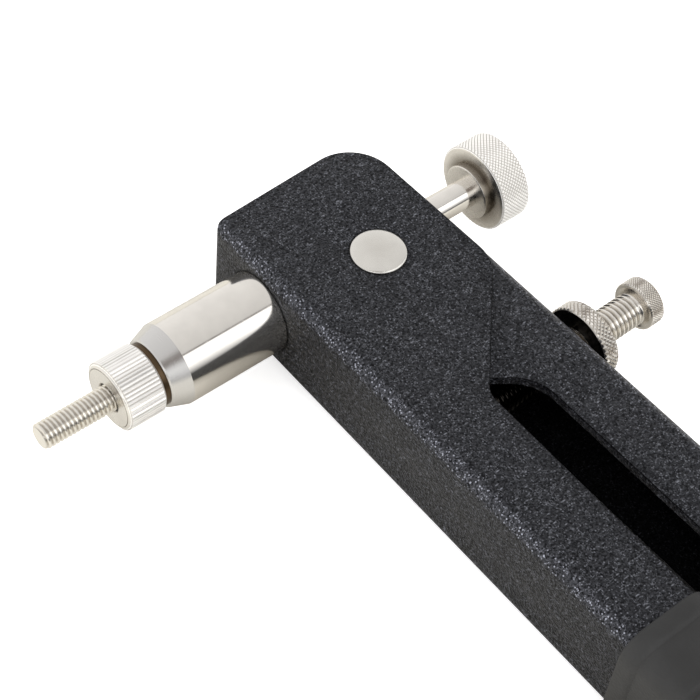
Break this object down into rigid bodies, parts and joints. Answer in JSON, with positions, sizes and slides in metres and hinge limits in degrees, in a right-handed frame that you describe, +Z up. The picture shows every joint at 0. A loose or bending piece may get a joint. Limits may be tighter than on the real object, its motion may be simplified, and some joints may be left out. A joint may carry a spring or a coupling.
{
  "type": "hand lever rivet nut setter",
  "caption": "Hand tool head with nose housing, knurled anvil, threaded pulling mandrel, rear spindle knob, channel handles on a rivet pivot and a stroke stop screw.",
  "frame": {"origin": "centre of the anvil sleeve's front face, on the mandrel axis, where the thread leaves it", "axes": "+X out along the mandrel, +Y down the handles, +Z up, square to the cheeks and along the pivot rivet; the tool lies on its side"},
  "size_m": [0.1268, 0.2258, 0.03],
  "materials": {
    "powder_coat": "fine wrinkled black powder coat with small light specks",
    "satin_nickel": "satin nickel plate",
    "polished_nickel": "bright nickel plate with fine turning marks",
    "knurled_nickel": "nickel plate over knurling and turned faces",
    "thread_nickel": "nickel plate over a rolled thread",
    "plain_steel": "turned and lightly oiled steel",
    "black_oxide": "black oxide",
    "spring_steel": "drawn spring wire",
    "grip_pvc": "matt black soft PVC with a fine pebble grain"
  },
  "bodies": {
    "frame": {"body_channel": "powder_coat", "pivot_rivet": "satin_nickel", "nose_housing": "polished_nickel", "housing_lock_washer": "plain_steel", "housing_nut": "plain_steel", "return_spring": "spring_steel", "front_grip": "grip_pvc"},
    "lever": {"lever_channel": "powder_coat", "stop_weld_nut": "plain_steel", "rear_grip": "grip_pvc"},
    "yoke": {"yoke": "plain_steel", "trunnion_pins": "plain_steel", "thrust_washer": "plain_steel"},
    "spindle": {"spindle": "polished_nickel", "mandrel": "thread_nickel", "mandrel_coupling": "plain_steel", "coupling_pin": "plain_steel", "spring_seat_washer": "plain_steel", "yoke_snap_ring": "plain_steel", "thrust_collar": "plain_steel", "collar_pin": "plain_steel", "rear_knob": "knurled_nickel", "knob_screw": "black_oxide"},
    "anvil": {"anvil_sleeve": "knurled_nickel"},
    "stop_screw": {"stop_screw": "knurled_nickel"},
    "stop_nut": {"stop_lock_nut": "knurled_nickel"}
  },
  "joints": [
    {"name": "lever_swing", "type": "hinge", "parent": "frame", "child": "lever", "pos_m": [-0.0629, 0.0098, 0], "axis": [0, 0, 1], "range_deg": [-2, 28]},
    {"name": "yoke_pull", "type": "slide", "parent": "frame", "child": "yoke", "axis": [1, 0, 0], "range_m": [-0.0004, 0.0052], "deforming": ["return_spring"]},
    {"name": "spindle_spin", "type": "hinge", "parent": "yoke", "child": "spindle", "pos_m": [0, 0, 0], "axis": [1, 0, 0], "continuous": true},
    {"name": "anvil_unscrew", "type": "slide", "parent": "frame", "child": "anvil", "axis": [1, 0, 0], "range_m": [0, 0.0045]},
    {"name": "stop_screw_feed", "type": "slide", "parent": "lever", "child": "stop_screw", "axis": [0.9998, 0.0175, 0], "range_m": [-0.012, 0]},
    {"name": "lock_nut_run", "type": "slide", "parent": "lever", "child": "stop_nut", "axis": [0.9998, 0.0175, 0], "range_m": [-0.009, 0.0034]}
  ],
  "couplings": [
    {"joint": "yoke_pull", "follows": "lever_swing", "m_per_rad": 0.0104}
  ]
}
